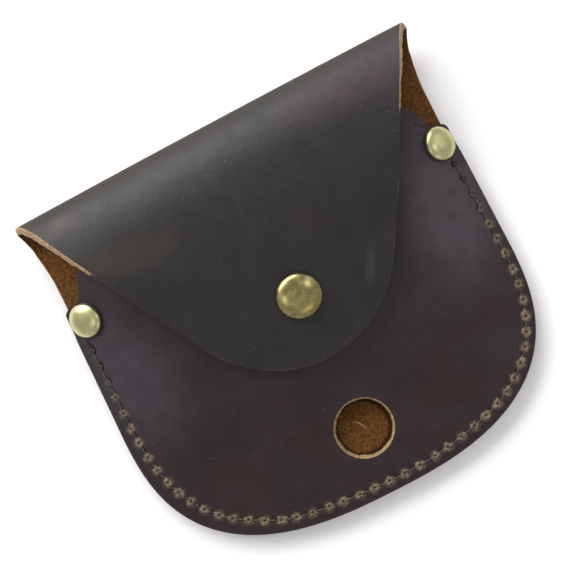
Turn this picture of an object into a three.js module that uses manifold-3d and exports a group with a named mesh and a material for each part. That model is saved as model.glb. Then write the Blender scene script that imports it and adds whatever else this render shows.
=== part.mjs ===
// A leather compass pouch, lying on its back with its flap snapped shut.
//
// +X is the pouch's right, +Y runs from its rounded bottom to the fold of the flap, and +Z points
// out of its front. One sheet of leather makes the back, the fold and the flap. A second sheet
// makes the front, which rises from its flat bottom to the mouth. It is sewn to the back all round
// its rim and riveted at its two top corners. A four-part snap holds the flap down. All sizes are
// in millimetres.
//
// The shapes are worked out in a frame whose origin lies under the snap. The outermost group then
// moves the pouch so that the middle of its bounding box stands on the origin.

import * as THREE from 'three';
import { mergeVertices } from 'three/addons/utils/BufferGeometryUtils.js';
import Module from 'manifold-3d';

// ---------------------------------------------------------------------------------------------
// Driving dimensions
// ---------------------------------------------------------------------------------------------

const LEATHER = 1.9;          // thickness of both sheets
const GAP = 0.3;              // clearance between pieces that touch
const LAYER = LEATHER + GAP;  // from the middle of one sheet to the middle of the next

// The plan of the sewn body: straight sides above a rounded bottom.
const BODY = {
  halfWidth: 57.9,       // at the level where the rounded bottom begins
  mouthHalfWidth: 56.65, // at the rivets
  centreY: -14,          // where the rounded bottom begins
  bottomY: -57.85,
  mouthY: 22,
  roundness: 2.63,       // exponent of the bottom's superellipse
};

// The front's middle surface, from the bottom to the mouth: its height at the rim and on the
// pouch's centre line, and how boxy the dome between them is.
const FRONT_SECTIONS = [
  { y: -58, rim: 3.15, crown: 3.4, power: 2.5 },
  { y: -38, rim: 3.2, crown: 4.0, power: 2.5 },
  { y: -14, rim: 3.4, crown: 7.4, power: 2.9 },
  { y: 0, rim: 3.8, crown: 10.4, power: 3.4 },
  { y: 20, rim: 4.4, crown: 14.6, power: 4.0 },
  { y: 38, rim: 4.5, crown: 16.2, power: 3.8 },
];

// How far from the middle (0) to the rim (1) the back stays flat, and where it is sewn.
const BACK_FLAT_TO = 0.5;
const BACK_SEWN_FROM = 0.82;

// The front's top edge: a low tab round each rivet, then a raised middle with round corners.
const FRONT_TOP = [
  { y: 23.4, halfWidth: 56.6 },
  { y: 24.4, halfWidth: 55.6 },
  { y: 24.8, halfWidth: 54.0 },
  { y: 25.0, halfWidth: 52.2 },
  { y: 26.0, halfWidth: 51.1 },
  { y: 28.2, halfWidth: 50.3 },
  { y: 30.6, halfWidth: 49.3 },
  { y: 32.8, halfWidth: 47.7 },
  { y: 34.8, halfWidth: 45.3 },
  { y: 36.2, halfWidth: 42.2 },
  { y: 36.8, halfWidth: 38.4 },
];

const PUSH_HOLE = { x: 0.8, y: -39.05, diameter: 15.95 };

const FOLD = {
  startY: 34,       // the back leaves the surface it lies on here, and the flap begins above it
  reach: 16.6,      // from there to the outermost point of the fold's middle surface
  halfHeight: 9.9,  // on the centre line
  endDrop: 2.6,     // how much lower that is at the fold's two ends
  halfWidth: 58.8,
  slant: 0.0304,    // the fold runs uphill to the right by this much
  slantFadesAt: 14, // the slant is gone at this level of the back and the flap
  curl: 0.6,        // the flap's edges turn up by this much beside the fold
  curlWidth: 12,
  taperFrom: THREE.MathUtils.degToRad(-12), // the sheet starts to narrow just below the fold's edge
  taperTo: THREE.MathUtils.degToRad(40),    // and from here on it has the flap's straight edges
};

const FLAP = {
  tipY: -17.2,
  tipRadius: 31.4,
  tipX: 0,
  foldX: 0.25,
  liesFrom: 6,      // from here to the tip the flap follows the front
};
FLAP.tipCentreY = FLAP.tipY + FLAP.tipRadius;
FLAP.edgeAngle = THREE.MathUtils.degToRad(29.5); // between each straight edge and the centre line

const SNAP = {
  x: 0.6,
  y: 1.5,
  space: 2.6,        // between the two sheets at the snap
  spread: 22,        // how far from the snap the flap still stands off
  capRadius: 6.2,
  capHeight: 2.4,    // above the flap
  capPostRadius: 1.9,
  socketRadius: 5.2,
  studRadius: 3.1,
  studBaseRadius: 4.4,
  postRadius: 2.0,
  postFlangeRadius: 4.6,
};

const RIVET = {
  x: 52.15,
  y: 19.8,
  frontRadius: 4.75,
  frontHeight: 2.2,
  backRadius: 4.2,
  backHeight: 1.5,
  backGap: 0.5, // more than the other gaps, because the back curves up past this cap
  rim: 0.45,
  postRadius: 1.5,
};

const COLUMNS = 20;         // facets across each sheet
const BOTTOM_ROWS = 13;
const FOLD_ROWS = 14;
const TIP_ROWS = 7;
const LAST_ROW_ANGLE = THREE.MathUtils.degToRad(88.3); // the round ends stop just short of a point
const SIDE_ROWS = [-10, -6, -2, 2, 6, 10, 13.5, 17, 20, 22];
const WAIST_ROWS = [24.5, 27, 30];
const FLAP_ROWS = [31, 28, 25, 22, 19, 16, 13, 10, 7, 4, 1.4];
const ROUND_FACETS = 24;

// ---------------------------------------------------------------------------------------------
// Small helpers
// ---------------------------------------------------------------------------------------------

const { clamp, lerp, smoothstep } = THREE.MathUtils;

// A column of a table of sections, read at y along a smooth curve through its rows.
function readTable(table, column, y) {
  const last = table.length - 1;
  let i = 0;
  while (i < last - 1 && y > table[i + 1].y) {
    i += 1;
  }
  const slopeAt = (k) => {
    const before = table[Math.max(k - 1, 0)];
    const after = table[Math.min(k + 1, last)];
    return (after[column] - before[column]) / (after.y - before.y);
  };
  const span = table[i + 1].y - table[i].y;
  const u = clamp((y - table[i].y) / span, 0, 1);
  const u2 = u * u;
  const u3 = u2 * u;
  return (2 * u3 - 3 * u2 + 1) * table[i][column]
    + (u3 - 2 * u2 + u) * span * slopeAt(i)
    + (3 * u2 - 2 * u3) * table[i + 1][column]
    + (u3 - u2) * span * slopeAt(i + 1);
}

// The wall of one sheet of leather: a grid of points on its middle surface, given half the
// thickness to each side.
function leatherWall(grid) {
  const rows = grid.length;
  const columns = grid[0].length;
  const across = new THREE.Vector3();
  const along = new THREE.Vector3();
  const positions = [];
  for (const side of [1, -1]) {
    for (let i = 0; i < rows; i += 1) {
      for (let j = 0; j < columns; j += 1) {
        across.subVectors(grid[i][Math.min(j + 1, columns - 1)], grid[i][Math.max(j - 1, 0)]);
        along.subVectors(grid[Math.min(i + 1, rows - 1)][j], grid[Math.max(i - 1, 0)][j]);
        const normal = across.clone().cross(along).normalize();
        const point = grid[i][j].clone().addScaledVector(normal, side * LEATHER / 2);
        positions.push(point.x, point.y, point.z);
      }
    }
  }
  const vertex = (side, i, j) => side * rows * columns + i * columns + j;
  const faces = [];
  const quad = (a, b, c, d) => faces.push(a, b, c, a, c, d);
  for (let i = 0; i < rows - 1; i += 1) {
    for (let j = 0; j < columns - 1; j += 1) {
      quad(vertex(0, i, j), vertex(0, i, j + 1), vertex(0, i + 1, j + 1), vertex(0, i + 1, j));
      quad(vertex(1, i, j), vertex(1, i + 1, j), vertex(1, i + 1, j + 1), vertex(1, i, j + 1));
    }
  }
  const right = columns - 1;
  const top = rows - 1;
  for (let i = 0; i < top; i += 1) {
    quad(vertex(0, i, 0), vertex(0, i + 1, 0), vertex(1, i + 1, 0), vertex(1, i, 0));
    quad(vertex(0, i, right), vertex(1, i, right), vertex(1, i + 1, right), vertex(0, i + 1, right));
  }
  for (let j = 0; j < right; j += 1) {
    quad(vertex(0, 0, j), vertex(1, 0, j), vertex(1, 0, j + 1), vertex(0, 0, j + 1));
    quad(vertex(0, top, j), vertex(0, top, j + 1), vertex(1, top, j + 1), vertex(1, top, j));
  }
  const geometry = new THREE.BufferGeometry();
  geometry.setAttribute('position', new THREE.Float32BufferAttribute(positions, 3));
  geometry.setIndex(faces);
  return geometry;
}

// Places across a sheet, from -1 at its left edge to 1 at its right, closer together at the edges.
function columnPlaces() {
  const places = [];
  for (let j = 0; j <= COLUMNS; j += 1) {
    const even = 2 * j / COLUMNS - 1;
    places.push(lerp(even, Math.sin(even * Math.PI / 2), 0.6));
  }
  return places;
}

// ---------------------------------------------------------------------------------------------
// Surfaces: the front, the back and the flap
// ---------------------------------------------------------------------------------------------

function bodyHalfWidth(y) {
  if (y >= BODY.centreY) {
    const up = clamp((y - BODY.centreY) / (BODY.mouthY - BODY.centreY), 0, 1);
    return lerp(BODY.halfWidth, BODY.mouthHalfWidth, up);
  }
  const down = (BODY.centreY - y) / (BODY.centreY - BODY.bottomY);
  return BODY.halfWidth * (1 - down ** BODY.roundness) ** (1 / BODY.roundness);
}

// 0 on the centre line and 1 on the rim.
function outwardness(x, y) {
  if (y >= BODY.centreY) {
    return Math.abs(x) / bodyHalfWidth(y);
  }
  const down = (BODY.centreY - y) / (BODY.centreY - BODY.bottomY);
  const sideways = Math.abs(x) / BODY.halfWidth;
  return (sideways ** BODY.roundness + down ** BODY.roundness) ** (1 / BODY.roundness);
}

function frontPoint(x, y) {
  const rim = readTable(FRONT_SECTIONS, 'rim', y);
  const crown = readTable(FRONT_SECTIONS, 'crown', y);
  const share = outwardness(x, y) ** readTable(FRONT_SECTIONS, 'power', y);
  return new THREE.Vector3(x, y, lerp(crown, rim, share));
}

function frontNormal(x, y) {
  const step = 0.2;
  const across = frontPoint(x + step, y).sub(frontPoint(x - step, y));
  const along = frontPoint(x, y + step).sub(frontPoint(x, y - step));
  return across.cross(along).normalize();
}

function onFront(x, y, height) {
  return frontPoint(x, y).addScaledVector(frontNormal(x, y), height);
}

// The slanted fold moves whole rows of the back and the flap up at the right and down at the left.
function slantShift(x, y) {
  return FOLD.slant * x * smoothstep(y, FOLD.slantFadesAt, FOLD.startY);
}

function foldHalfHeight(x) {
  return FOLD.halfHeight - FOLD.endDrop * (x / FOLD.halfWidth) ** 2;
}

// The back: flat in the middle, raised to the sewn rim at its sides and bottom.
function backPoint(x, y) {
  const flat = new THREE.Vector3(x, y, LEATHER / 2);
  const sewn = onFront(x, y, -LAYER);
  const point = flat.lerp(sewn, smoothstep(outwardness(x, y), BACK_FLAT_TO, BACK_SEWN_FROM));
  point.y += slantShift(x, y);
  return point;
}

// The fold, from -90 degrees under it to 90 degrees above it. Its underside still feels the pull
// of the rivets at the two ends.
function foldPoint(x, angle) {
  const y = FOLD.startY + FOLD.reach * Math.cos(angle);
  const height = LEATHER / 2 + foldHalfHeight(x) * (1 + Math.sin(angle));
  const point = new THREE.Vector3(x, y, height);
  const sewn = onFront(x, y, -LAYER);
  const pull = 1 - smoothstep(angle, -Math.PI / 2, -Math.PI / 8);
  const outer = smoothstep(outwardness(x, FOLD.startY), BACK_FLAT_TO, BACK_SEWN_FROM);
  const lifted = new THREE.Vector3(sewn.x, y, Math.max(sewn.z, height));
  point.lerp(lifted, pull * outer);
  point.y += FOLD.slant * x;
  return point;
}

function flapPoint(x, y) {
  const level = new THREE.Vector3(x, y, LEATHER / 2 + 2 * foldHalfHeight(x));
  const distance = Math.hypot(x - SNAP.x, y - SNAP.y) / SNAP.spread;
  const standOff = (SNAP.space - GAP) * Math.exp(-distance * distance);
  const lying = onFront(x, y, LAYER + standOff);
  const point = lying.lerp(level, smoothstep(y, FLAP.liesFrom, FOLD.startY));
  point.y += slantShift(x, y);
  return point;
}

function flapHalfWidth(y) {
  const { edgeAngle, tipRadius, tipCentreY } = FLAP;
  const tangentY = tipCentreY - tipRadius * Math.sin(edgeAngle);
  const tangentX = tipRadius * Math.cos(edgeAngle);
  return Math.min(FOLD.halfWidth, tangentX + (y - tangentY) * Math.tan(edgeAngle));
}

// ---------------------------------------------------------------------------------------------
// Leather sheets
// ---------------------------------------------------------------------------------------------

// The levels of the rounded bottom with the body's half width at each, from the bottom up.
function bottomRows() {
  const rows = [];
  for (let i = 0; i <= BOTTOM_ROWS; i += 1) {
    const angle = LAST_ROW_ANGLE * (1 - i / BOTTOM_ROWS);
    const drop = Math.sin(angle) ** (2 / BODY.roundness);
    rows.push({
      y: BODY.centreY - (BODY.centreY - BODY.bottomY) * drop,
      halfWidth: BODY.halfWidth * Math.cos(angle) ** (2 / BODY.roundness),
    });
  }
  return rows;
}

function bodyRows() {
  const side = SIDE_ROWS.map((y) => ({ y, halfWidth: bodyHalfWidth(y) }));
  return [...bottomRows(), ...side];
}

function frontPanelGeometry() {
  const rows = [...bodyRows(), ...FRONT_TOP];
  const places = columnPlaces();
  const grid = rows.map(({ y, halfWidth }) => places.map((place) => frontPoint(place * halfWidth, y)));
  return leatherWall(grid);
}

// The flap's edges turn up beside the fold, more the nearer they are to the cut.
function curledUp(point, halfWidth, amount) {
  const outer = clamp((Math.abs(point.x) - (halfWidth - FOLD.curlWidth)) / FOLD.curlWidth, 0, 1);
  point.z += amount * FOLD.curl * outer * outer;
  return point;
}

// The sheet widens from the waist to the fold, then tapers round it into the flap.
function foldHalfWidth(angle) {
  const y = FOLD.startY + FOLD.reach * Math.cos(angle);
  if (angle >= FOLD.taperTo) {
    return flapHalfWidth(y);
  }
  const widening = clamp((angle + Math.PI / 2) / (FOLD.taperFrom + Math.PI / 2), 0, 1);
  const widened = lerp(bodyHalfWidth(y), FOLD.halfWidth, widening ** 1.1);
  const taperEnd = flapHalfWidth(FOLD.startY + FOLD.reach * Math.cos(FOLD.taperTo));
  const taper = clamp((angle - FOLD.taperFrom) / (FOLD.taperTo - FOLD.taperFrom), 0, 1);
  return lerp(widened, taperEnd, taper ** 1.5);
}

function backAndFlapGeometry() {
  const places = columnPlaces();
  const grid = [];
  const waist = WAIST_ROWS.map((y) => ({ y, halfWidth: bodyHalfWidth(y) }));
  for (const { y, halfWidth } of [...bodyRows(), ...waist]) {
    grid.push(places.map((place) => backPoint(place * halfWidth, y)));
  }
  for (let i = 0; i <= FOLD_ROWS; i += 1) {
    const angle = Math.PI * (i / FOLD_ROWS - 0.5);
    const halfWidth = foldHalfWidth(angle);
    const middle = FLAP.foldX * smoothstep(angle, 0, FOLD.taperTo);
    const amount = smoothstep(angle, 0, Math.PI / 3);
    grid.push(places.map((place) => {
      const point = foldPoint(middle + place * halfWidth, angle);
      return curledUp(point, halfWidth, amount);
    }));
  }
  for (const y of FLAP_ROWS) {
    const halfWidth = flapHalfWidth(y);
    const amount = smoothstep(y, FOLD.slantFadesAt, FOLD.startY);
    const middle = lerp(FLAP.tipX, FLAP.foldX, smoothstep(y, 0, FOLD.startY));
    grid.push(places.map((place) => {
      const point = flapPoint(middle + place * halfWidth, y);
      return curledUp(point, halfWidth, amount);
    }));
  }
  for (let i = 0; i <= TIP_ROWS; i += 1) {
    const angle = lerp(FLAP.edgeAngle, LAST_ROW_ANGLE, i / TIP_ROWS);
    const y = FLAP.tipCentreY - FLAP.tipRadius * Math.sin(angle);
    const halfWidth = FLAP.tipRadius * Math.cos(angle);
    grid.push(places.map((place) => flapPoint(FLAP.tipX + place * halfWidth, y)));
  }
  return leatherWall(grid);
}

// ---------------------------------------------------------------------------------------------
// Cutting holes
// ---------------------------------------------------------------------------------------------

const wasm = await Module();
wasm.setup();

function toSolid(geometry) {
  const bare = geometry.clone();
  bare.deleteAttribute('normal');
  bare.deleteAttribute('uv');
  const merged = mergeVertices(bare);
  const mesh = new wasm.Mesh({
    numProp: 3,
    vertProperties: new Float32Array(merged.attributes.position.array),
    triVerts: new Uint32Array(merged.index.array),
  });
  return new wasm.Manifold(mesh);
}

function toGeometry(solid) {
  const mesh = solid.getMesh();
  const geometry = new THREE.BufferGeometry();
  geometry.setAttribute('position', new THREE.BufferAttribute(mesh.vertProperties, 3));
  geometry.setIndex(new THREE.BufferAttribute(mesh.triVerts, 1));
  geometry.computeVertexNormals();
  return geometry;
}

// The turn and place that stand a piece's own +Z on the front, at a height over its middle surface.
function stoodOnFront(x, y, height) {
  const turn = new THREE.Quaternion();
  turn.setFromUnitVectors(new THREE.Vector3(0, 0, 1), frontNormal(x, y));
  return { position: onFront(x, y, height), quaternion: turn };
}

// A punch that cuts a round hole square through the leather at a place on the front.
function punch(x, y, radius, length) {
  const geometry = new THREE.CylinderGeometry(radius, radius, length, ROUND_FACETS);
  geometry.rotateX(Math.PI / 2);
  const { position, quaternion } = stoodOnFront(x, y, 0);
  geometry.applyMatrix4(new THREE.Matrix4().compose(position, quaternion, new THREE.Vector3(1, 1, 1)));
  return geometry;
}

function punched(geometry, punches) {
  const solid = punches.reduce((rest, tool) => rest.subtract(toSolid(tool)), toSolid(geometry));
  return toGeometry(solid);
}

// ---------------------------------------------------------------------------------------------
// Hardware, each turned about its own Z axis, with its heights over the front's middle surface
// ---------------------------------------------------------------------------------------------

function turned(profile) {
  const geometry = new THREE.LatheGeometry(profile.map(([r, z]) => new THREE.Vector2(r, z)), ROUND_FACETS);
  geometry.rotateX(Math.PI / 2);
  return geometry;
}

// Points of a low dome from its edge to its top on the axis.
function domeProfile(radius, edgeHeight, topHeight) {
  const steps = 5;
  const points = [];
  for (let i = 0; i <= steps; i += 1) {
    const angle = Math.PI / 2 * i / steps;
    points.push([radius * Math.cos(angle), lerp(edgeHeight, topHeight, Math.sin(angle))]);
  }
  points[steps][0] = 0;
  return points;
}

const FRONT_FACE = LEATHER / 2;
const FLAP_INSIDE = FRONT_FACE + SNAP.space;
const FLAP_OUTSIDE = FLAP_INSIDE + LEATHER;

function snapCapGeometry() {
  const seat = FLAP_OUTSIDE + GAP;
  const tail = FLAP_INSIDE - 2 * GAP;
  return turned([
    [0, tail],
    [SNAP.capPostRadius, tail],
    [SNAP.capPostRadius, seat],
    [SNAP.capRadius, seat],
    ...domeProfile(SNAP.capRadius, seat + RIVET.rim, seat + SNAP.capHeight),
  ]);
}

function snapSocketGeometry() {
  const top = FLAP_INSIDE - GAP;
  const bottom = FRONT_FACE + 1.1;
  const ledge = top - 0.45;
  const hole = SNAP.capPostRadius + GAP;
  const mouth = SNAP.studRadius + GAP;
  return turned([
    [hole, ledge],
    [mouth, ledge],
    [mouth, bottom],
    [SNAP.socketRadius, bottom],
    [SNAP.socketRadius, top],
    [hole, top],
    [hole, ledge],
  ]);
}

function snapStudGeometry() {
  const bottom = FRONT_FACE + GAP;
  const base = bottom + 0.5;
  const top = FRONT_FACE + 1.6;
  const hole = SNAP.postRadius + GAP;
  return turned([
    [hole, bottom],
    [SNAP.studBaseRadius, bottom],
    [SNAP.studBaseRadius, base],
    [SNAP.studRadius - GAP, base],
    [SNAP.studRadius, top],
    [hole, top],
    [hole, bottom],
  ]);
}

function snapPostGeometry() {
  const flangeTop = -FRONT_FACE - GAP;
  const top = FRONT_FACE + 1.5;
  return turned([
    [0, flangeTop - 0.8],
    [SNAP.postFlangeRadius, flangeTop - 0.8],
    [SNAP.postFlangeRadius, flangeTop],
    [SNAP.postRadius, flangeTop],
    [SNAP.postRadius, top],
    [0, top],
  ]);
}

// Both caps and the post between them, through the front and the back.
function rivetGeometry() {
  const frontSeat = FRONT_FACE + GAP;
  const backSeat = -LAYER - FRONT_FACE - RIVET.backGap;
  const backDome = domeProfile(RIVET.backRadius, backSeat - RIVET.rim, backSeat - RIVET.backHeight);
  const frontDome = domeProfile(RIVET.frontRadius, frontSeat + RIVET.rim, frontSeat + RIVET.frontHeight);
  return turned([
    ...backDome.reverse(),
    [RIVET.backRadius, backSeat],
    [RIVET.postRadius, backSeat],
    [RIVET.postRadius, frontSeat],
    [RIVET.frontRadius, frontSeat],
    ...frontDome,
  ]);
}

// ---------------------------------------------------------------------------------------------
// The pouch
// ---------------------------------------------------------------------------------------------

const darkLeather = new THREE.MeshStandardMaterial({ color: 0x30282a, roughness: 0.5, metalness: 0 });
const brightBrass = new THREE.MeshStandardMaterial({ color: 0xb0a468, roughness: 0.22, metalness: 1 });
const antiqueBrass = new THREE.MeshStandardMaterial({ color: 0x8a7c48, roughness: 0.34, metalness: 1 });

function piece(name, geometry, material, place) {
  const mesh = new THREE.Mesh(geometry, material);
  mesh.name = name;
  if (place) {
    mesh.position.copy(place.position);
    mesh.quaternion.copy(place.quaternion);
  }
  return mesh;
}

const THROUGH_BOTH = 16; // longer than any of the stacks that a punch goes through
const rivetPunches = [-RIVET.x, RIVET.x].map(
  (x) => punch(x, RIVET.y, RIVET.postRadius + GAP, THROUGH_BOTH),
);
const frontPunches = [
  ...rivetPunches,
  punch(SNAP.x, SNAP.y, SNAP.postRadius + GAP, THROUGH_BOTH),
  punch(PUSH_HOLE.x, PUSH_HOLE.y, PUSH_HOLE.diameter / 2, THROUGH_BOTH),
];
const flapPunches = [
  ...rivetPunches,
  punch(SNAP.x, SNAP.y, SNAP.capPostRadius + GAP, THROUGH_BOTH),
];

const snapPlace = stoodOnFront(SNAP.x, SNAP.y, 0);

const pouch = new THREE.Group();
pouch.add(piece('back_and_flap', punched(backAndFlapGeometry(), flapPunches), darkLeather));
pouch.add(piece('front_panel', punched(frontPanelGeometry(), frontPunches), darkLeather));
pouch.add(piece('snap_cap', snapCapGeometry(), antiqueBrass, snapPlace));
pouch.add(piece('snap_socket', snapSocketGeometry(), antiqueBrass, snapPlace));
pouch.add(piece('snap_stud', snapStudGeometry(), antiqueBrass, snapPlace));
pouch.add(piece('snap_post', snapPostGeometry(), antiqueBrass, snapPlace));
for (const [name, x] of [['rivet_left', -RIVET.x], ['rivet_right', RIVET.x]]) {
  pouch.add(piece(name, rivetGeometry(), brightBrass, stoodOnFront(x, RIVET.y, 0)));
}

const box = new THREE.Box3().setFromObject(pouch, true);
const middle = box.getCenter(new THREE.Vector3());
pouch.position.set(-middle.x, -middle.y, -box.min.z);

const scene = new THREE.Group();
scene.add(pouch);

export default scene;
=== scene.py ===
# %% [markdown]
# # A leather compass pouch
# This lesson dresses a measured model of a small belt pouch for a compass. The pouch lies on its
# back with its flap snapped shut. Two sheets of thick brown leather make it: one is the back, the
# fold and the flap, and the other is the front. A row of stitches and two brass rivets hold
# them together, and a brass snap holds the flap.
#
# The measured model gives the frame: where the hardware sits and how large the whole thing is.
# Everything below is worked out in millimetres from a drawing whose origin lies under the snap.
# +X is the pouch's right, +Y runs from its round bottom to the fold, and +Z points up.

import math
import random

import bmesh
import bpy
from mathutils import Matrix, Vector, kdtree, noise


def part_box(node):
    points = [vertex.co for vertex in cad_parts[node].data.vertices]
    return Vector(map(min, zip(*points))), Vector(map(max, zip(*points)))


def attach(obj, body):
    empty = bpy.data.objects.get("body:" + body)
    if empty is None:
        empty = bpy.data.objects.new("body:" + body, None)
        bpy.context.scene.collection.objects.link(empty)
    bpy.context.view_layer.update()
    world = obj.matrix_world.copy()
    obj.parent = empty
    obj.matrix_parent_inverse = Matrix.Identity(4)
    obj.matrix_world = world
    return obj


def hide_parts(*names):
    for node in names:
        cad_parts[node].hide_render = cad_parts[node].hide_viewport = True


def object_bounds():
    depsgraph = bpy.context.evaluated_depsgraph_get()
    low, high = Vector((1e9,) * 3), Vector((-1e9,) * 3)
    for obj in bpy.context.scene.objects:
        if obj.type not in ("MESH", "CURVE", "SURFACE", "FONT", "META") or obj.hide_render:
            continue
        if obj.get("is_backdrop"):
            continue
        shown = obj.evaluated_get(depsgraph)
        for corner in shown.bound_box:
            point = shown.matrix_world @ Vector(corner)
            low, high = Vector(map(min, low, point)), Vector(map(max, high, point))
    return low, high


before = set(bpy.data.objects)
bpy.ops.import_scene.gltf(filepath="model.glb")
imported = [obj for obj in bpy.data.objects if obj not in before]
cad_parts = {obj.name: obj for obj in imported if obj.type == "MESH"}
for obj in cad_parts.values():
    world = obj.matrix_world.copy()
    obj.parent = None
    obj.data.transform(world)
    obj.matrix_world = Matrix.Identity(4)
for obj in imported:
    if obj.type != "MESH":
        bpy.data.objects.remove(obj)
cad_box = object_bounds()
print("measured nodes:", sorted(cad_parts))

# %% [markdown]
# ## Driving sizes
# These are the sizes that the measured model was drawn with. The sheets are modelled again here,
# finer and rounder, so the same drawing has to be at hand.

# %% Driving sizes
MM = 0.001
LEATHER = 1.9  # thickness of both sheets
SEWN_GAP = 0.04  # a hairline that stays between the two sheets where they are glued and sewn
LAYER = LEATHER + 0.3  # from the front's middle surface to the flap's

SIDE_HALF_WIDTH = 57.9  # the sewn body where its rounded bottom begins
MOUTH_HALF_WIDTH = 56.65
ROUNDING_Y = -14
BOTTOM_Y = -57.85
MOUTH_Y = 22
ROUNDNESS = 2.63  # exponent of the bottom's superellipse

FRONT_SECTIONS = [
    # y, height at the rim, height on the centre line, how boxy the front is between them
    (-58, 3.15, 3.4, 2.5),
    (-38, 3.2, 4.0, 2.5),
    (-14, 3.4, 7.4, 2.9),
    (0, 3.8, 10.4, 3.4),
    (20, 4.4, 14.6, 4.0),
    (38, 4.5, 16.2, 3.8),
]
RIM, CROWN, POWER = 1, 2, 3

FRONT_TOP = [
    # y, half width: a low tab round each rivet, then the raised middle with its round corners
    (23.4, 56.6), (24.4, 55.6), (24.8, 54.0), (25.0, 52.2), (26.0, 51.1), (28.2, 50.3),
    (30.6, 49.3), (32.8, 47.7), (34.8, 45.3), (36.2, 42.2), (36.8, 38.4),
]

BACK_FLAT_TO, BACK_SEWN_FROM = 0.5, 0.82  # shares of the way from the middle to the rim
FOLD_Y, FOLD_REACH, FOLD_HALF_HEIGHT, FOLD_END_DROP = 34, 16.6, 9.9, 2.6
FOLD_HALF_WIDTH, FOLD_SLANT, SLANT_FADES_AT = 58.8, 0.0304, 14
CURL, CURL_WIDTH = 0.6, 12
TAPER_FROM, TAPER_TO = math.radians(-12), math.radians(40)
TIP_Y, TIP_RADIUS, TIP_X, FOLD_X, FLAP_LIES_FROM = -17.2, 31.4, 0, 0.25, 6
TIP_CENTRE_Y = TIP_Y + TIP_RADIUS
EDGE_ANGLE = math.radians(29.5)
SNAP_X, SNAP_Y, SNAP_STAND_OFF, SNAP_SPREAD = 0.6, 1.5, 2.3, 22
RIVET_X, RIVET_Y = 52.15, 19.8
HOLE_X, HOLE_Y, HOLE_RADIUS = 0.8, -39.05, 7.975
print(f"the drawing's body is {2 * SIDE_HALF_WIDTH} mm wide")

# %% [markdown]
# ## The shape of the leather
# Each surface is a height over the plan, so it can be asked for at any point. The front lies flat
# where it is sewn at the bottom and swells towards the mouth. Across the pouch its height falls
# from the centre line to the rim, slowly at first and then fast. A real sheet is never quite even,
# so a slow noise moves it by a tenth of a millimetre.


# %% Shares and steps
def share_of(value, start=0.0, end=1.0):
    """0 up to start, 1 from end on, and straight between."""
    return min(max((value - start) / (end - start), 0.0), 1.0)


def smoothstep(value, start, end):
    share = share_of(value, start, end)
    return share * share * (3 - 2 * share)


def between(low, high, share):
    return low + (high - low) * share


print("a smooth step is at", smoothstep(0.25, 0, 1), "after a quarter of its way")


# %% Heights of the front
def section(column, y):
    """A column of the front's sections, read at y along a smooth curve through its rows."""
    rows = FRONT_SECTIONS
    last = len(rows) - 1
    i = 0
    while i < last - 1 and y > rows[i + 1][0]:
        i += 1

    def slope(k):
        before, after = rows[max(k - 1, 0)], rows[min(k + 1, last)]
        return (after[column] - before[column]) / (after[0] - before[0])

    span = rows[i + 1][0] - rows[i][0]
    u = share_of(y, rows[i][0], rows[i + 1][0])
    rise = u * u * (3 - 2 * u)
    bends = (u - 2 * u * u + u**3) * slope(i) + (u**3 - u * u) * slope(i + 1)
    return between(rows[i][column], rows[i + 1][column], rise) + span * bends


def body_half_width(y):
    return between(SIDE_HALF_WIDTH, MOUTH_HALF_WIDTH, share_of(y, ROUNDING_Y, MOUTH_Y))


def outwardness(x, y):
    """0 on the centre line and 1 on the rim."""
    if y >= ROUNDING_Y:
        return abs(x) / body_half_width(y)
    down = (ROUNDING_Y - y) / (ROUNDING_Y - BOTTOM_Y)
    sideways = abs(x) / SIDE_HALF_WIDTH
    return (sideways**ROUNDNESS + down**ROUNDNESS) ** (1 / ROUNDNESS)


UNEVEN_HEIGHT, UNEVEN_SIZE, NOISE_LEVEL = 0.1, 17, 3.7


def unevenness(x, y):
    return UNEVEN_HEIGHT * noise.noise(Vector((x / UNEVEN_SIZE, y / UNEVEN_SIZE, NOISE_LEVEL)))


def front_point(x, y):
    share = min(outwardness(x, y), 1.1) ** section(POWER, y)
    height = between(section(CROWN, y), section(RIM, y), share)
    return Vector((x, y, height + unevenness(x, y) * (1 - min(share, 1))))


def front_normal(x, y, step=0.2):
    across = front_point(x + step, y) - front_point(x - step, y)
    along = front_point(x, y + step) - front_point(x, y - step)
    return across.cross(along).normalized()


def on_front(x, y, height):
    return front_point(x, y) + front_normal(x, y) * height


print(f"crown over the snap: {front_point(SNAP_X, SNAP_Y).z:.1f} mm")

# %% [markdown]
# The drawing's origin isn't the model's origin. The snap's post is in both, and its flange is its
# widest part, so the middle of its box shows where the drawing lies in the model.

# %% Where the drawing lies
POST_FLANGE_HEIGHT = -1.65  # of the flange's middle, over the front's middle surface
post_low, post_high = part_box("snap_post")
post_in_model = (Vector(post_low) + Vector(post_high)) / 2 / MM
post_in_drawing = on_front(SNAP_X, SNAP_Y, POST_FLANGE_HEIGHT)
ORIGIN = post_in_model - post_in_drawing
ORIGIN.z = 0.0


def in_model(point):
    """A point of the drawing, in millimetres, as a place in the model, in metres."""
    return (Vector(point) + ORIGIN) * MM


print(f"drawing's origin in the model: {ORIGIN.x:.3f}, {ORIGIN.y:.3f} mm")

# %% [markdown]
# ## Camera, floor and light
# The pouch is seen from straight above, a little from its left, and lies turned on the floor. A
# wide soft light from beyond the fold draws the band of light along it. Small ones on the other
# sides put the glints on the brass, and the floor is plain and pale.

# %% Camera
CAMERA_TURN = math.radians(26.6)
CAMERA_PLACE = in_model((-15, 0, 450))
CAMERA_AIM = in_model((-0.68, 3.49, 4))
SEEN_WIDTH = 154.4 * MM  # at the aim


def turned_to(first, second, third):
    """The turn that brings X, Y and Z to three directions."""
    return Matrix((first, second, third)).transposed().to_4x4()


def shown(name, data):
    """Puts a camera, a lamp or a mesh into the scene."""
    thing = bpy.data.objects.new(name, data)
    bpy.context.scene.collection.objects.link(thing)
    return thing


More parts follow.
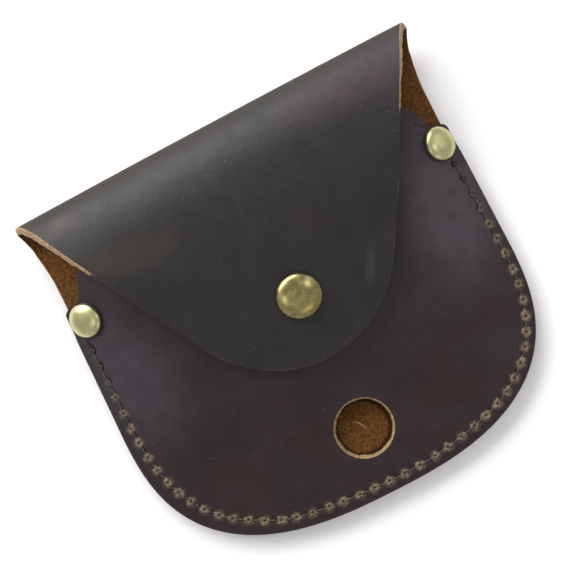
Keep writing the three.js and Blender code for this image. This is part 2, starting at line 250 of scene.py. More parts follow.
camera_data = bpy.data.cameras.new("camera")
camera_data.sensor_width = 36
camera_data.lens = camera_data.sensor_width * (CAMERA_AIM - CAMERA_PLACE).length / SEEN_WIDTH
camera_data.clip_start, camera_data.clip_end = 0.01, 20
camera = shown("camera", camera_data)
bpy.context.scene.camera = camera
backward = (CAMERA_PLACE - CAMERA_AIM).normalized()
upward = Vector((math.sin(CAMERA_TURN), math.cos(CAMERA_TURN), 0))
rightward = upward.cross(backward).normalized()
upward = backward.cross(rightward)
camera.matrix_world = Matrix.Translation(CAMERA_PLACE) @ turned_to(rightward, upward, backward)
print(f"lens {camera_data.lens:.1f} mm")


# %% Soft lights
def soft_light(name, place, width, height, power, colour):
    """A flat soft light at a place in metres, facing the pouch."""
    data = bpy.data.lights.new(name, "AREA")
    data.shape, data.size, data.size_y = "RECTANGLE", width, height
    data.energy, data.color = power, colour
    facing = Vector(place).to_track_quat("Z", "Y").to_matrix().to_4x4()
    shown(name, data).matrix_world = Matrix.Translation(Vector(place)) @ facing
    print(f"{name}: {power} W")


LAMP_WHITE = (1.0, 0.98, 0.95)
soft_light("window", (-0.20, 0.60, 0.38), 1.0, 0.42, 9.8, (1.0, 0.955, 0.975))
soft_light("right_fill", (0.6, 0.15, 0.38), 0.4, 0.3, 0.25, (1.0, 0.97, 0.98))
soft_light("left_lamp", (-0.28, -0.16, 0.5), 0.12, 0.12, 0.16, LAMP_WHITE)
soft_light("right_lamp", (0.30, -0.04, 0.5), 0.12, 0.12, 0.18, LAMP_WHITE)
soft_light("near_lamp", (0.06, -0.42, 0.32), 0.16, 0.08, 0.14, LAMP_WHITE)

world = bpy.data.worlds.new("studio")
bpy.context.scene.world = world
world.use_nodes = True
background = world.node_tree.nodes["Background"].inputs
background["Color"].default_value = (1, 1, 1, 1)
background["Strength"].default_value = 0.55
bpy.context.scene.view_settings.view_transform = "Standard"

# %% [markdown]
# ## Writing materials
# A material is sums on patterns. One small class wraps a socket so that Python's own signs add the
# Math nodes. The other is a material: one of its methods adds any node, from its type, its settings
# and its inputs, and the others are short ways to add the kinds that are used here.


# %% Sockets that can be summed
class Value:
    """A socket that carries one number over the surface."""

    def __init__(self, finish, socket):
        self.finish, self.socket = finish, socket

    def sum_with(self, operation, first, second):
        return self.finish.node("ShaderNodeMath", {"operation": operation}, {0: first, 1: second})

    def __add__(self, other):
        return self.sum_with("ADD", self, other)

    def __sub__(self, other):
        return self.sum_with("SUBTRACT", self, other)

    def __rsub__(self, other):
        return self.sum_with("SUBTRACT", other, self)

    def __mul__(self, other):
        return self.sum_with("MULTIPLY", self, other)

    def __abs__(self):
        return self.finish.node("ShaderNodeMath", {"operation": "ABSOLUTE"}, {0: self})

    __radd__ = __add__
    __rmul__ = __mul__


def greater(first, second):
    return first.sum_with("MAXIMUM", first, second)


# %% A finish and its nodes
class Finish:
    """One material, and the ways that nodes are added to it."""

    def __init__(self, name):
        self.material = bpy.data.materials.new(name)
        self.material.use_nodes = True
        self.tree = self.material.node_tree
        self.tree.nodes.clear()
        inputs = {0: self.node("ShaderNodeTexCoord", output="Object"), "Scale": 1 / MM}
        # Where a point is, in millimetres.
        self.place = self.node("ShaderNodeVectorMath", {"operation": "SCALE"}, inputs)

    def node(self, kind, settings=None, inputs=None, output=None):
        """Any node: its settings first, then its inputs by name or number, then one output."""
        made = self.tree.nodes.new(kind)
        for key, value in (settings or {}).items():
            setattr(made, key, value)
        for key, value in (inputs or {}).items():
            socket = self.found(made.inputs, key)
            if isinstance(value, Value):
                self.tree.links.new(value.socket, socket)
            else:
                socket.default_value = value
        return Value(self, self.found(made.outputs, output or 0))

    def found(self, sockets, key):
        if isinstance(key, int):
            return [s for s in sockets if s.enabled][key]
        return next(s for s in sockets if s.name == key and s.enabled)

    def stretched(self, stretch, turn):
        """The place with each axis multiplied, so that a pattern on it is drawn out or packed."""
        inputs = {"Vector": self.place, "Rotation": turn, "Scale": stretch}
        return self.node("ShaderNodeMapping", {"vector_type": "POINT"}, inputs)

    def clouds(self, size, detail=2.0, roughness=0.5, vector=None, distortion=0.0):
        """Noise whose patches are about size millimetres wide, from 0 to 1."""
        inputs = {"Vector": vector or self.place, "Scale": 1 / size, "Detail": detail}
        inputs.update({"Roughness": roughness, "Distortion": distortion})
        return self.node("ShaderNodeTexNoise", {}, inputs, "Fac")

    def cells(self, size, feature="F1", vector=None):
        """The distance from the middle of the nearest cell, for cells about size millimetres wide."""
        inputs = {"Vector": vector or self.place, "Scale": 1 / size}
        return self.node("ShaderNodeTexVoronoi", {"feature": feature}, inputs, "Distance")

    def fade(self, value, start, end):
        """0 up to start and 1 from end on, with a soft ramp between."""
        inputs = {"Value": value, "From Min": start, "From Max": end}
        return self.node("ShaderNodeMapRange", {"interpolation_type": "SMOOTHSTEP"}, inputs)

    def blend(self, share, first, second):
        """Two colours, mixed."""
        inputs = {"Factor": share, "A": self.opaque(first), "B": self.opaque(second)}
        return self.node("ShaderNodeMix", {"data_type": "RGBA"}, inputs)

    def layered(self, colour, layers):
        """A colour and what lies over it, each layer as its share and its colour."""
        for share, layer_colour in layers:
            colour = self.blend(share, colour, layer_colour)
        return colour

    def opaque(self, colour):
        return colour if isinstance(colour, Value) else (*colour, 1)

    def own(self, name):
        """A number that the mesh carries on its vertices."""
        return self.node("ShaderNodeAttribute", {"attribute_name": name}, {}, "Fac")

    def mark(self, x, y, length, width, turn=0.0):
        """1 in the middle of a long mark in the plan of the drawing, and 0 from its edge on."""
        inputs = {
            "Vector": self.place,
            "Location": (x + ORIGIN.x, y + ORIGIN.y, 0),
            "Rotation": (0, 0, math.radians(turn)),
            "Scale": (length / 2, width / 2, 1000),
        }
        placed = self.node("ShaderNodeMapping", {"vector_type": "TEXTURE"}, inputs)
        out = self.node("ShaderNodeVectorMath", {"operation": "LENGTH"}, {0: placed}, "Value")
        return 1 - self.fade(out, 0.2, 1)

    def arc(self, x, y, radius, width):
        """1 on a circle in the plan of the drawing, and 0 half a width from it."""
        in_plan = {0: self.place, 1: (1, 1, 0)}
        flat = self.node("ShaderNodeVectorMath", {"operation": "MULTIPLY"}, in_plan)
        ends = {0: flat, 1: (x + ORIGIN.x, y + ORIGIN.y, 0)}
        away = self.node("ShaderNodeVectorMath", {"operation": "DISTANCE"}, ends, "Value")
        return 1 - self.fade(abs(away - radius), width * 0.2, width * 0.5)

    def relief(self, height, depth, strength=1.0, under=None):
        """A bump of that depth in millimetres where height goes from 0 to 1."""
        inputs = {"Strength": strength, "Distance": depth * MM, "Height": height}
        if under:
            inputs["Normal"] = under
        return self.node("ShaderNodeBump", {}, inputs)

    def surface(self, colour, roughness, **others):
        """The shader itself. Another input's name has _ for each space."""
        inputs = {"Base Color": self.opaque(colour), "Roughness": roughness}
        inputs.update({key.replace("_", " "): value for key, value in others.items()})
        shader = self.node("ShaderNodeBsdfPrincipled", {}, inputs)
        output = self.tree.nodes.new("ShaderNodeOutputMaterial")
        self.tree.links.new(shader.socket, output.inputs["Surface"])
        print(f"{self.material.name}: {len(self.tree.nodes)} nodes")
        return self.material


print("a finish can add", [name for name in vars(Finish) if not name.startswith("_")])

# %% Floor
FLOOR_HALF_SIDE, FLOOR_DROP = 1.5, 0.05 * MM  # metres; it lies a hair under the pouch
floor_mesh = bmesh.new()
bmesh.ops.create_grid(floor_mesh, x_segments=1, y_segments=1, size=FLOOR_HALF_SIDE)
bmesh.ops.translate(floor_mesh, verts=floor_mesh.verts, vec=(0, 0, -FLOOR_DROP))
floor_data = bpy.data.meshes.new("floor")
floor_mesh.to_mesh(floor_data)
floor_mesh.free()
floor_data.materials.append(Finish("pale_floor").surface((0.92, 0.92, 0.92), 0.9))
shown("floor", floor_data)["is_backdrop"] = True
print(f"floor: {2 * FLOOR_HALF_SIDE} m wide")

# %% [markdown]
# ## The rim and the seam
# Both sheets share one rim: down the left side, round the bottom and up the right side. It is kept
# as points a quarter of a millimetre apart, so any run along it can be asked for. The seam follows
# it by eye, so its inset wanders, and its holes were pricked by hand about 4.4 mm apart.


# %% Paths
def evenly(path, step):
    """Points about step apart along a path, with both of its ends."""
    lengths = [0.0]
    for before, after in zip(path, path[1:]):
        lengths.append(lengths[-1] + (after - before).length)
    count = round(lengths[-1] / step)
    spread = []
    i = 0
    for k in range(count + 1):
        run = lengths[-1] * k / count
        while i < len(path) - 2 and lengths[i + 1] < run:
            i += 1
        spread.append(path[i].lerp(path[i + 1], (run - lengths[i]) / (lengths[i + 1] - lengths[i])))
    return spread


def corners_cut(path, times):
    """A path whose corners are cut a few times, which rounds them."""
    for _ in range(times):
        cut = [path[0]]
        for before, after in zip(path, path[1:]):
            cut += [before.lerp(after, 0.25), before.lerp(after, 0.75)]
        path = cut + [path[-1]]
    return path


def length_of(path):
    return sum((after - before).length for before, after in zip(path, path[1:]))


# %% Rim
RIM_STEP = 0.25
TANGENT_REACH = 8  # how far each way a path is looked at to tell its direction
ROUND_DROP = ROUNDING_Y - BOTTOM_Y
power = 2 / ROUNDNESS
left_side = [Vector((-body_half_width(y), y)) for y in range(MOUTH_Y, ROUNDING_Y - 1, -1)]
left_round = []
for i in range(1, 181):
    turn = math.radians(i / 2)
    across, down = SIDE_HALF_WIDTH * math.cos(turn) ** power, ROUND_DROP * math.sin(turn) ** power
    left_round.append(Vector((-across, ROUNDING_Y - down)))
left_half = left_side + left_round
right_half = [Vector((-p.x, p.y)) for p in reversed(left_half[:-1])]
rim = evenly(left_half + right_half, RIM_STEP)
RIM_LENGTH = length_of(rim)
SIDE_LENGTH = length_of(left_side)


def rim_at(run):
    """The rim's point at a run in millimetres from its left end, and the way inwards from there."""
    place = share_of(run / RIM_LENGTH) * (len(rim) - 1)
    i = min(int(place), len(rim) - 2)
    point = rim[i].lerp(rim[i + 1], place - i)
    reach = round(TANGENT_REACH / RIM_STEP)
    along = rim[min(i + reach, len(rim) - 1)] - rim[max(i - reach, 0)]
    return point, Vector((-along.y, along.x)).normalized()


print(f"rim length: {RIM_LENGTH:.1f} mm")

# %% Seam
HOLE_COUNT, FIRST_HOLE, LAST_HOLE = 49, 10.3, 231.9
SEAM_INSETS = [
    # share of the rim, inset from it
    (0.0, 2.5), (0.04, 2.5), (0.12, 3.05), (0.25, 4.3), (0.33, 4.0), (0.38, 3.3), (0.42, 3.4), (0.53, 2.9),
    (0.62, 3.3), (0.68, 2.8), (0.75, 2.6), (0.83, 2.3), (0.93, 2.5), (0.97, 3.2), (1.0, 3.2),
]


def seam_inset(run):
    share = share_of(run / RIM_LENGTH)
    for (before, first), (after, second) in zip(SEAM_INSETS, SEAM_INSETS[1:]):
        if share <= after:
            return between(first, second, smoothstep(share, before, after))
    return SEAM_INSETS[-1][1]


def seam_at(run):
    point, inward = rim_at(run)
    return point + inward * seam_inset(run)


chance = random.Random(7)
hole_runs = []
for k in range(HOLE_COUNT):
    jitter = chance.uniform(-0.25, 0.25)
    hole_runs.append(between(FIRST_HOLE, LAST_HOLE, k / (HOLE_COUNT - 1)) + jitter)
seam_holes = [seam_at(run) for run in hole_runs]
print(f"{HOLE_COUNT} holes, {length_of(seam_holes) / (HOLE_COUNT - 1):.2f} mm apart along the seam")


# %% How far a point is from the seam
def tree_of(points):
    tree = kdtree.KDTree(len(points))
    for i, point in enumerate(points):
        tree.insert((point[0], point[1], 0), i)
    tree.balance()
    return tree


SEAM_SAMPLE = 0.25
seam_samples = [seam_at(k * SEAM_SAMPLE) for k in range(int(RIM_LENGTH / SEAM_SAMPLE) + 1)]
seam_tree = tree_of(seam_samples)
hole_tree = tree_of(seam_holes)
rim_tree = tree_of(rim)


def from_seam(x, y):
    """Millimetres from the seam, more than 0 on its inner side, and the run where that is."""
    _, i, distance = seam_tree.find((x, y, 0))
    from_rim = rim_tree.find((x, y, 0))[2]
    run = i * SEAM_SAMPLE
    return (distance if from_rim > seam_inset(run) else -distance), run


def from_hole(x, y):
    return hole_tree.find((x, y, 0))[2]


def sewn_here(run):
    begun = smoothstep(run, FIRST_HOLE - 5, FIRST_HOLE - 1)
    return begun * (1 - smoothstep(run, LAST_HOLE + 1, LAST_HOLE + 5))


print(f"seam kept as {len(seam_samples)} points")

# %% [markdown]
# ## From a sheet to a wall of leather
# Each sheet begins as one layer of faces on the leather's outer, grain side. Solidify adds the
# inner, flesh side and the cut edge between them, and leaves the first layer where it was, so the
# dents that thread and rivets press into the grain side can follow. A narrow bevel then rounds the
# two corners of the cut edge, as a sanded edge is. The three sides carry three finishes.

# %% Numbers on the vertices
FAR = 50.0
DISTANCES = ("edge", "seam", "prick", "ridge", "slit", "thumb")  # in millimetres, FAR by default
AMOUNTS = ("along", "pale", "lean")  # 0 by default


def measured(shape, distances=DISTANCES, amounts=AMOUNTS):
    """Makes the numbers that a shape's vertices carry for its finishes."""
    layers = {name: shape.verts.layers.float.new(name) for name in distances + amounts}
    for vert in shape.verts:
        measure(vert, layers, **{name: FAR for name in distances})
    return layers


def measure(vert, layers, **numbers):
    for name, number in numbers.items():
        vert[layers[name]] = number


print("each vertex of a sheet carries", DISTANCES + AMOUNTS)

# %% Wall
GRAIN, FLESH, CUT = 0, 1, 2  # the places of a sheet's three finishes


def thicken(sheet):
    """Gives a sheet its wall, and returns the vertices of its grain side."""
    grain = set(sheet.verts)
    bmesh.ops.solidify(sheet, geom=sheet.faces[:], thickness=LEATHER)
    for face in sheet.faces:
        sides = [vert in grain for vert in face.verts]
        face.material_index = GRAIN if all(sides) else CUT if any(sides) else FLESH
    print(f"a wall of {len(sheet.faces)} faces")
    return grain


def lean_cut(sheet, grain, measures, outward, reach):
    """Slopes the cut edge by moving the flesh side's border out, unevenly, by its own lean."""
    moved = 0
    for vert in sheet.verts:
        share = vert[measures["lean"]] * (1 - smoothstep(vert[measures["edge"]], 0, reach))
        if vert not in grain and share > 0:
            ragged = 1 + 0.5 * noise.noise(vert.co * 0.35) + 0.45 * noise.noise(vert.co * 1.3)
            vert.co += outward(vert.co) * share * ragged
            moved += 1
    print(f"{moved} vertices leaned")


# %% Rounded corners
BEVEL_WIDTH = 0.3


def round_corners(sheet):
    """Bevels the corners of the cut edges."""

    def is_corner(edge):
        finishes = {face.material_index for face in edge.link_faces}
        return CUT in finishes and len(finishes) == 2

    corners = [edge for edge in sheet.edges if is_corner(edge)]
    made = bmesh.ops.bevel(
        sheet,
        geom=corners,
        offset=BEVEL_WIDTH,
        offset_type="OFFSET",
        segments=3,
        profile=0.5,
        affect="EDGES",
        material=-1,
    )
    for face in made["faces"]:
        face.material_index = CUT
    print(f"{len(corners)} corner edges rounded")


# %% Finished pieces
def finished_piece(name, shape, finishes, replaces=()):
    """Moves a shape from the drawing into the model and makes it a piece of the pouch."""
    into_model = Matrix.Scale(MM, 4) @ Matrix.Translation(ORIGIN)
    bmesh.ops.transform(shape, matrix=into_model, verts=shape.verts)
    data = bpy.data.meshes.new(name)
    shape.to_mesh(data)
    shape.free()
    for finish in finishes:
        data.materials.append(finish)
    data.shade_smooth()
    piece = shown(name, data)
    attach(piece, "root")
    if replaces:
        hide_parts(*replaces)
    triangles = sum(len(polygon.vertices) - 2 for polygon in data.polygons)
    print(f"{name}: {triangles} triangles")


# %% [markdown]
# ## What presses into the leather
# Several things dent the grain side. The thread draws a shallow groove between its holes, the awl
# leaves a pit at each hole, and the rivets and the snap are set so hard that they sink in. There
# are also three short slits: one in the corner beside the right rivet, where the front's top edge
# bends, and one at each end of the seam, where the thread's ends are tucked in. Each slit is a
# shallow dent, and the grain finish paints it nearly black as painted shade.

# %% Slits
SLITS = [
    (Vector((50.9, 25.2)), Vector((48.3, 27.1))),
    (seam_at(7.4), seam_at(9.2)),
    (seam_at(RIM_LENGTH - 6.6), seam_at(RIM_LENGTH - 5.2)),
]


def from_slit(x, y):
    """Millimetres from the nearest of the short slits."""
    nearest = FAR
    for start, end in SLITS:
        way = end - start
        share = share_of((Vector((x, y)) - start).dot(way) / way.length_squared)
        nearest = min(nearest, (Vector((x, y)) - start - way * share).length)
    return nearest


print("slits:", [f"{(end - start).length:.1f} mm" for start, end in SLITS])


# %% Dents
GROOVE_DEPTH, GROOVE_HALF_WIDTH = 0.3, 0.45
PIT_DEPTH, BACK_PIT_DEPTH, PIT_HALF_WIDTH = 1.0, 0.5, 0.6
RIVET_DENT_DEPTH, RIVET_DENT_RADIUS = 0.55, 5.2
SNAP_DENT_DEPTH, SNAP_DENT_RADIUS = 0.3, 8.0
SLIT_DEPTH, SLIT_HALF_WIDTH = 0.35, 0.3


def seam_dent(x, y, pit_depth):
    distance, run = from_seam(x, y)
    groove = GROOVE_DEPTH * math.exp(-((distance / GROOVE_HALF_WIDTH) ** 2)) * sewn_here(run)
    pit = pit_depth * math.exp(-((from_hole(x, y) / PIT_HALF_WIDTH) ** 2))
    return groove + pit


def slit_dent(x, y):
    return SLIT_DEPTH * math.exp(-((from_slit(x, y) / SLIT_HALF_WIDTH) ** 2))


def rivet_dent(x, y):
    away = math.hypot(abs(x) - RIVET_X, y - RIVET_Y)
    return RIVET_DENT_DEPTH * math.exp(-((away / RIVET_DENT_RADIUS) ** 4))


def press(sheet, grain, dent):
    """Moves the grain side inwards by the dent at each vertex."""
    sheet.normal_update()
    moves = [(vert, -dent(vert.co) * vert.normal) for vert in grain]
    for vert, move in moves:
        vert.co += move
    print(f"deepest dent {max(move.length for _, move in moves):.2f} mm")


print(f"a pit is {seam_dent(*seam_holes[HOLE_COUNT // 2], PIT_DEPTH):.2f} mm deep")

# %% [markdown]
# ## The front
# The front is one sheet with a round hole through which a thumb pushes the compass out. A
# fan of rings suits it: the outermost ring is the cut outline, the innermost is the hole, and the
# rings crowd together round the seam, where the dents are. One spoke of vertices spun full circle
# makes the fan, and each vertex is then moved to its own place.

# %% Front outline
SPOKE_STEP = 0.575
top_right = [Vector((half_width, y)) for y, half_width in FRONT_TOP]
top_left = [Vector((-p.x, p.y)) for p in reversed(top_right)]
outline = evenly(rim + corners_cut([rim[-1], *top_right, *top_left, rim[0]], 2)[1:], SPOKE_STEP)[:-1]
SPOKES = len(outline)
SPOKE_RUN = length_of([*outline, outline[0]]) / SPOKES
reach = round(TANGENT_REACH / SPOKE_STEP)
inwards = []
for i in range(SPOKES):
    along = outline[(i + reach) % SPOKES] - outline[i - reach]
    inwards.append(Vector((-along.y, along.x)).normalized())
print(f"{SPOKES} spokes round the front")

# %% Front rings
RING_INSETS = [0, 0.45, 0.9, 1.4, 1.9, 2.3, 2.6, 2.85, 3.05, 3.2, 3.35, 3.55, 3.8, 4.15, 4.6, 5.2, 6, 7]
SEAM_RING_INSET, LAST_INSET = 3.2, 7
INNER_RINGS = 36
HOLE_MARGIN = 0.7
HOLE_CUT_LEAN, HOLE_CUT_PALE = 0.42, 0.62
RINGS = len(RING_INSETS) + INNER_RINGS + 1


def ring_inset(inset, run):
    """Bends the rings' insets so that one of them always runs along the seam."""
    near_end = min(run, RIM_LENGTH - run)
    seam = between(SEAM_RING_INSET, seam_inset(run), smoothstep(near_end, 0, 8))
    if inset <= SEAM_RING_INSET:
        return inset * seam / SEAM_RING_INSET
    return between(seam, LAST_INSET, (inset - SEAM_RING_INSET) / (LAST_INSET - SEAM_RING_INSET))


def fan_place(ring, spoke):
    """Where the vertex of a ring and a spoke lies in the plan."""
    inset = RING_INSETS[min(ring, len(RING_INSETS) - 1)]
    point = outline[spoke] + inwards[spoke] * ring_inset(inset, spoke * SPOKE_RUN)
    beyond = ring - len(RING_INSETS) + 1
    if beyond <= 0:
        return point
    hole = Vector((HOLE_X, HOLE_Y))
    outward = (point - hole).normalized()
    if beyond > INNER_RINGS:
        return hole + outward * HOLE_RADIUS
    share = beyond / INNER_RINGS
    eased = between(share, share * share, 0.35)
    return point.lerp(hole + outward * (HOLE_RADIUS + HOLE_MARGIN), eased)


print(f"the first spoke is {(fan_place(0, 0) - fan_place(RINGS - 1, 0)).length:.1f} mm long")


# %% Front sheet
def full_circle(shape, geometry, steps):
    """Spins part of a shape once round Z."""
    about_z = {"cent": (0, 0, 0), "axis": (0, 0, 1), "angle": math.tau}
    bmesh.ops.spin(shape, geom=geometry, steps=steps, use_merge=True, **about_z)


front = bmesh.new()
spoke = [front.verts.new((k + 1, 0, 0)) for k in range(RINGS)]
for before, after in zip(spoke, spoke[1:]):
    front.edges.new((before, after))
full_circle(front, front.verts[:] + front.edges[:], SPOKES)
front_measures = measured(front)
for vert in front.verts:
    ring = RINGS - round(vert.co.length)
    spoke = round(math.atan2(vert.co.y, vert.co.x) / math.tau * SPOKES) % SPOKES
    x, y = fan_place(ring, spoke)
    vert.co = on_front(x, y, LEATHER / 2)
    to_hole = math.hypot(x - HOLE_X, y - HOLE_Y) - HOLE_RADIUS
    to_edge = min(RING_INSETS[min(ring, len(RING_INSETS) - 1)], to_hole)
    seam, along = from_seam(x, y)
    measure(vert, front_measures, edge=to_edge, seam=seam, along=along)
    measure(vert, front_measures, prick=from_hole(x, y), slit=from_slit(x, y))
    measure(vert, front_measures, lean=HOLE_CUT_LEAN * (1 - smoothstep(to_hole, 1, 2)))
    measure(vert, front_measures, pale=HOLE_CUT_PALE * (1 - smoothstep(to_hole, 2, 4)))
print(f"front: {len(front.verts)} vertices in {RINGS} rings")

# %% Front wall
front_grain = thicken(front)


def into_thumb_hole(place):
    """Into the hole from its edge, and most towards the fold and the right."""
    inward = Vector((HOLE_X - place.x, HOLE_Y - place.y, 0)).normalized()
    return inward * (1 + 0.4 * inward.dot(Vector((0.9, 0.45, 0))))


def front_dent(place):
    x, y = place.x, place.y
    return seam_dent(x, y, PIT_DEPTH) + rivet_dent(x, y) + slit_dent(x, y)


lean_cut(front, front_grain, front_measures, into_thumb_hole, 1.6)
press(front, front_grain, front_dent)
round_corners(front)

# %% [markdown]
# ## The back, the fold and the flap
# These are a single sheet. From the round bottom it runs up under the compass, turns over at the
# fold and comes down in front as a flap with a round tip. A grid follows it: its columns run the
# whole length and its rows cross it. At both round ends the rows and columns close up as rings,
# like the squares of a target that have been pulled round, so the cut edge stays one clean line.


# %% Surfaces of the back, the fold and the flap
SEWN_LAYER = LEATHER + SEWN_GAP
TANGENT_Y = TIP_CENTRE_Y - TIP_RADIUS * math.sin(EDGE_ANGLE)
TANGENT_X = TIP_RADIUS * math.cos(EDGE_ANGLE)


def slant_shift(x, y):
    """The fold isn't quite square to the pouch: its right end is the higher one."""
    return FOLD_SLANT * x * smoothstep(y, SLANT_FADES_AT, FOLD_Y)


def fold_half_height(x):
    return FOLD_HALF_HEIGHT - FOLD_END_DROP * (x / FOLD_HALF_WIDTH) ** 2


def back_point(x, y):
    sewn = on_front(x, y, -SEWN_LAYER)
    share = smoothstep(outwardness(x, y), BACK_FLAT_TO, BACK_SEWN_FROM)
    point = Vector((x, y, LEATHER / 2)).lerp(sewn, share)
    point.y += slant_shift(x, y)
    return point


def fold_point(x, angle):
    y = FOLD_Y + FOLD_REACH * math.cos(angle)
    height = LEATHER / 2 + fold_half_height(x) * (1 + math.sin(angle))
    sewn = on_front(x, y, -SEWN_LAYER)
    pull = 1 - smoothstep(angle, -math.pi / 2, -math.pi / 8)
    outer = smoothstep(outwardness(x, FOLD_Y), BACK_FLAT_TO, BACK_SEWN_FROM)
    point = Vector((x, y, height)).lerp(Vector((sewn.x, y, max(sewn.z, height))), pull * outer)
    point.y += FOLD_SLANT * x
    return point


def flap_point(x, y):
    away = math.hypot(x - SNAP_X, y - SNAP_Y) / SNAP_SPREAD
    lying = on_front(x, y, LAYER + SNAP_STAND_OFF * math.exp(-away * away))
    level = Vector((x, y, LEATHER / 2 + 2 * fold_half_height(x)))
    point = lying.lerp(level, smoothstep(y, FLAP_LIES_FROM, FOLD_Y))
    point.y += slant_shift(x, y)
    return point


def curled_up(point, half_width, amount):
    outer = share_of(abs(point.x), half_width - CURL_WIDTH, half_width)
    point.z += amount * CURL * outer * outer
    return point


print(f"fold: {2 * fold_half_height(0):.1f} mm high, {2 * fold_half_height(FOLD_HALF_WIDTH):.1f} at its ends")

# %% Widths of the fold and the flap
def flap_half_width(y):
    return min(FOLD_HALF_WIDTH, TANGENT_X + (y - TANGENT_Y) * math.tan(EDGE_ANGLE))


def fold_half_width(angle):
    y = FOLD_Y + FOLD_REACH * math.cos(angle)
    if angle >= TAPER_TO:
        return flap_half_width(y)
    widening = share_of(angle, -math.pi / 2, TAPER_FROM) ** 1.1
    widened = between(body_half_width(y), FOLD_HALF_WIDTH, widening)
    taper_end = flap_half_width(FOLD_Y + FOLD_REACH * math.cos(TAPER_TO))
    taper = share_of(angle, TAPER_FROM, TAPER_TO)
    return between(widened, taper_end, taper**1.5)


print(f"flap: {2 * flap_half_width(FOLD_Y):.1f} mm wide at the fold")

# %% Rows and columns
EDGE_LEVELS = [0, 0.5, 1, 1.5, 2, 2.3, 2.6, 2.9, 3.2, 3.5, 3.8, 4.1, 4.4, 4.8, 5.4, 6.2, 7.2, 8.5, 10, 12]
INNER_LEVELS, SIDE_STEP = 20, 0.9
FOLD_STEPS, FLAP_STEPS = 56, 40
levels = [1 - inset / SIDE_HALF_WIDTH for inset in EDGE_LEVELS]
innermost = levels[-1]
levels += [innermost * (1 - k / INNER_LEVELS) for k in range(1, INNER_LEVELS + 1)]
columns = [-level for level in levels] + levels[-2::-1]
side_steps = round((FOLD_Y - ROUNDING_Y) / SIDE_STEP)
rows = [("bottom", level) for level in levels]
rows += [("side", between(ROUNDING_Y, FOLD_Y, k / side_steps)) for k in range(1, side_steps + 1)]
rows += [("fold", math.pi * (k / FOLD_STEPS - 0.5)) for k in range(1, FOLD_STEPS + 1)]
rows += [("flap", between(FOLD_Y, TANGENT_Y, k / FLAP_STEPS)) for k in range(1, FLAP_STEPS + 1)]
rows += [("tip", level) for level in reversed(levels[:-1])]
print(f"{len(rows)} rows of {len(columns)} columns")


# %% Places on the sheet
def round_end(column, level):
    """The share of the way round a round end, and the share of the way out from its middle."""
    out = max(abs(column), level)
    if out == 0:
        return 0.5, 0.0
    if abs(column) < level:
        return (2 + column / out) / 4, out
    return (level / out / 4 if column < 0 else 1 - level / out / 4), out


def sheet_place(column, row):
    """A point on the middle of the sheet and its distance from the cut edge."""
    kind, value = row
    if kind == "bottom":
        way, out = round_end(column, value)
        edge = rim_at(between(SIDE_LENGTH, RIM_LENGTH - SIDE_LENGTH, way))[0]
        x, y = Vector((0, ROUNDING_Y)).lerp(edge, out)
        return back_point(x, y), (1 - out) * (edge - Vector((0, ROUNDING_Y))).length
    if kind == "side":
        half_width = body_half_width(value)
        return back_point(column * half_width, value), (1 - abs(column)) * half_width
    if kind == "fold":
        half_width = fold_half_width(value)
        middle = FOLD_X * smoothstep(value, 0, TAPER_TO)
        point = fold_point(middle + column * half_width, value)
        point = curled_up(point, half_width, smoothstep(value, 0, math.pi / 3))
        return point, (1 - abs(column)) * half_width
    if kind == "flap":
        half_width = flap_half_width(value)
        middle = between(TIP_X, FOLD_X, smoothstep(value, 0, FOLD_Y))
        point = flap_point(middle + column * half_width, value)
        point = curled_up(point, half_width, smoothstep(value, SLANT_FADES_AT, FOLD_Y))
        return point, (1 - abs(column)) * half_width * math.cos(EDGE_ANGLE)
    way, out = round_end(column, value)
    turn = between(math.pi + EDGE_ANGLE, math.tau - EDGE_ANGLE, way)
    edge = Vector((TIP_X + TIP_RADIUS * math.cos(turn), TIP_CENTRE_Y + TIP_RADIUS * math.sin(turn)))
    centre = Vector((TIP_X, TANGENT_Y))
    x, y = centre.lerp(edge, out)
    return flap_point(x, y), (1 - out) * (edge - centre).length


print(f"the flap's tip lies at y = {sheet_place(0, rows[-1])[0].y:.1f} mm")

# %% Back and flap
THUMB_X, THUMB_Y = HOLE_X - 0.15, HOLE_Y + 0.1  # where the back shows through the thumb hole
UNDER_FOLD = 8  # millimetres of ridge for each radian that the fold has turned under

back = bmesh.new()
bmesh.ops.create_grid(back, x_segments=len(columns) - 1, y_segments=len(rows) - 1, size=1)
back_measures = measured(back)
sewn_verts = set()
for vert in back.verts:
    column = columns[round((vert.co.x + 1) / 2 * (len(columns) - 1))]
    row = rows[round((vert.co.y + 1) / 2 * (len(rows) - 1))]
    vert.co, from_edge = sheet_place(column, row)
    x, y = vert.co.x, vert.co.y
    kind, value = row
    ridge = FOLD_Y + FOLD_REACH + FOLD_SLANT * x - y
    if kind in ("bottom", "side"):
        sewn_verts.add(vert)
        seam, along = from_seam(x, y)
        measure(vert, back_measures, seam=seam, along=along, prick=from_hole(x, y))
        measure(vert, back_measures, thumb=math.hypot(x - THUMB_X, y - THUMB_Y))
        measure(vert, back_measures, pale=0.5 * smoothstep(y, 23, 27))
    elif kind == "fold":
        ridge += UNDER_FOLD * max(-value, 0)
        measure(vert, back_measures, pale=0.5 + 0.5 * smoothstep(value, -1.2, -0.2))
        measure(vert, back_measures, lean=0.75 * smoothstep(value, -0.2, 0.8))
    elif kind == "flap":
        measure(vert, back_measures, pale=smoothstep(value, 28, 34))
        measure(vert, back_measures, lean=between(0.2, 0.75, smoothstep(value, 24, FOLD_Y)))
    measure(vert, back_measures, edge=from_edge, ridge=ridge)
bmesh.ops.reverse_faces(back, faces=back.faces[:])
back.normal_update()
for vert, move in [(vert, vert.normal * LEATHER / 2) for vert in back.verts]:
    vert.co += move
print(f"back and flap: {len(back.verts)} vertices")

# %% Back and flap wall
back_grain = thicken(back)
sewn_grain = sewn_verts & back_grain
BETWEEN_BACK_AND_FLAP = 10  # a height


